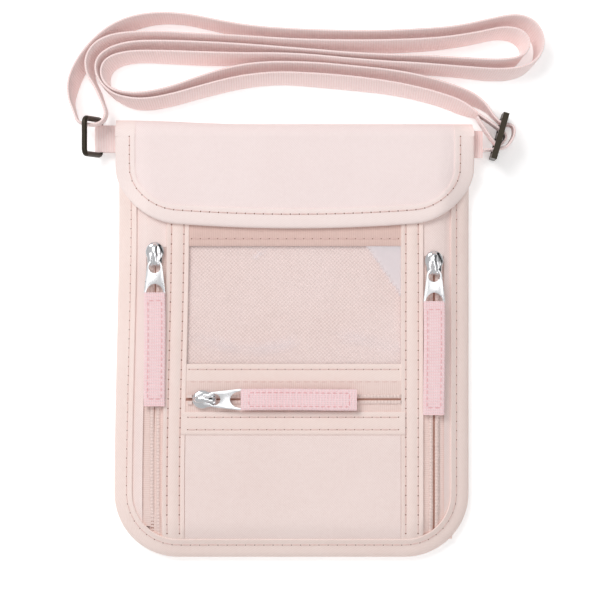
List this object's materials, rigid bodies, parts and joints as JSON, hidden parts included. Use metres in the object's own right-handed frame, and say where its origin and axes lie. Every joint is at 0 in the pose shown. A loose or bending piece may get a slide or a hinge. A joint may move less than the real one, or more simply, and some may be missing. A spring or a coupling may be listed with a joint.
{
  "type": "neck pouch wallet",
  "caption": "Flat fabric neck pouch with a fold-over flap, clear window, three zipped pockets with ribbon pulls, and a long adjustable webbing neck strap.",
  "frame": {"origin": "centre of the back panel's outer face, with the pouch lying on its back", "axes": "+Z out through the front, +Y towards the neck strap, +X to the right as seen from the front"},
  "size_m": [0.2059, 0.2365, 0.0198],
  "materials": {
    "canvas": "matte fine-ribbed canvas",
    "binding_tape": "smooth woven tape",
    "lining_cloth": "matte lining",
    "pocket_cloth": "fine plain weave",
    "zip_tape": "matte knitted tape",
    "coil_nylon": "satin nylon",
    "webbing": "satin ribbed webbing",
    "pull_ribbon": "ribbed grosgrain",
    "hook_and_loop": "short pile",
    "clear_film": "clear flexible film",
    "plated_metal": "bright nickel plate",
    "dark_metal": "dark bronze"
  },
  "bodies": {
    "pouch": {"back_panel": "canvas", "shield_lining": "lining_cloth", "pocket_divider": "lining_cloth", "body_binding": "binding_tape", "top_fold": "canvas", "left_side_panel": "canvas", "right_side_panel": "canvas", "left_zip_patch": "canvas", "right_zip_patch": "canvas", "left_band": "binding_tape", "right_band": "binding_tape", "front_top_panel": "canvas", "window_top_hem": "binding_tape", "window_film": "clear_film", "window_bottom_band": "binding_tape", "window_backing": "pocket_cloth", "lower_pocket_panel": "canvas", "lower_zip_band": "binding_tape", "closure_loop_patch": "hook_and_loop", "left_zip_tape_lower": "zip_tape", "left_zip_tape_upper": "zip_tape", "left_zip_coil": "coil_nylon", "left_zip_stops": "plated_metal", "right_zip_tape_lower": "zip_tape", "right_zip_tape_upper": "zip_tape", "right_zip_coil": "coil_nylon", "right_zip_stops": "plated_metal", "front_zip_tape_lower": "zip_tape", "front_zip_tape_upper": "zip_tape", "front_zip_coil": "coil_nylon", "front_zip_stops": "plated_metal", "ring_tab": "webbing", "strap_end_tab": "webbing", "strap_outer_run": "webbing", "strap_inner_run": "webbing", "strap_through_ring": "webbing", "strap_through_adjuster": "webbing", "strap_sewn_loop": "webbing"},
    "flap": {"flap_panel": "canvas", "flap_lining": "lining_cloth", "flap_binding": "binding_tape", "closure_hook_patch": "hook_and_loop"},
    "left_slider": {"left_zip_slider": "plated_metal"},
    "left_pull": {"left_zip_pull": "plated_metal"},
    "left_ribbon": {"left_zip_ribbon": "pull_ribbon"},
    "right_slider": {"right_zip_slider": "plated_metal"},
    "right_pull": {"right_zip_pull": "plated_metal"},
    "right_ribbon": {"right_zip_ribbon": "pull_ribbon"},
    "front_slider": {"front_zip_slider": "plated_metal"},
    "front_pull": {"front_zip_pull": "plated_metal"},
    "front_ribbon": {"front_zip_ribbon": "pull_ribbon"},
    "ring": {"strap_ring": "dark_metal"},
    "adjuster": {"strap_adjuster": "dark_metal"}
  },
  "joints": [
    {"name": "flap_fold", "type": "hinge", "parent": "pouch", "child": "flap", "pos_m": [0, 0.0887, 0.0063], "axis": [-1, 0, 0], "range_deg": [0, 110], "deforming": ["top_fold"]},
    {"name": "left_zip_slide", "type": "slide", "parent": "pouch", "child": "left_slider", "axis": [0, -1, 0], "range_m": [0, 0.108]},
    {"name": "left_pull_swing", "type": "hinge", "parent": "left_slider", "child": "left_pull", "pos_m": [-0.06, 0.0376, 0.01225], "axis": [-1, 0, 0], "range_deg": [0, 150]},
    {"name": "left_ribbon_swing", "type": "hinge", "parent": "left_pull", "child": "left_ribbon", "pos_m": [-0.06, 0.02, 0.01194], "axis": [-1, 0, 0], "range_deg": [0, 30]},
    {"name": "right_zip_slide", "type": "slide", "parent": "pouch", "child": "right_slider", "axis": [0, -1, 0], "range_m": [0, 0.105]},
    {"name": "right_pull_swing", "type": "hinge", "parent": "right_slider", "child": "right_pull", "pos_m": [0.0615, 0.0338, 0.01225], "axis": [-1, 0, 0], "range_deg": [0, 150]},
    {"name": "right_ribbon_swing", "type": "hinge", "parent": "right_pull", "child": "right_ribbon", "pos_m": [0.0615, 0.0162, 0.01194], "axis": [-1, 0, 0], "range_deg": [0, 30]},
    {"name": "front_zip_slide", "type": "slide", "parent": "pouch", "child": "front_slider", "axis": [1, 0, 0], "range_m": [0, 0.075]},
    {"name": "front_pull_swing", "type": "hinge", "parent": "front_slider", "child": "front_pull", "pos_m": [-0.0385, -0.0257, 0.01345], "axis": [0, -1, 0], "range_deg": [0, 150]},
    {"name": "front_ribbon_swing", "type": "hinge", "parent": "front_pull", "child": "front_ribbon", "pos_m": [-0.0209, -0.0257, 0.01345], "axis": [0, -1, 0], "range_deg": [0, 30]},
    {"name": "ring_swing", "type": "hinge", "parent": "pouch", "child": "ring", "pos_m": [-0.0842, 0.0886, 0.0026], "axis": [0, 1, 0], "range_deg": [-3, 18]},
    {"name": "adjuster_turn", "type": "hinge", "parent": "pouch", "child": "adjuster", "pos_m": [0.08988, 0.08872, 0.0087], "axis": [0, 0, 1], "range_deg": [-5, 5]}
  ]
}
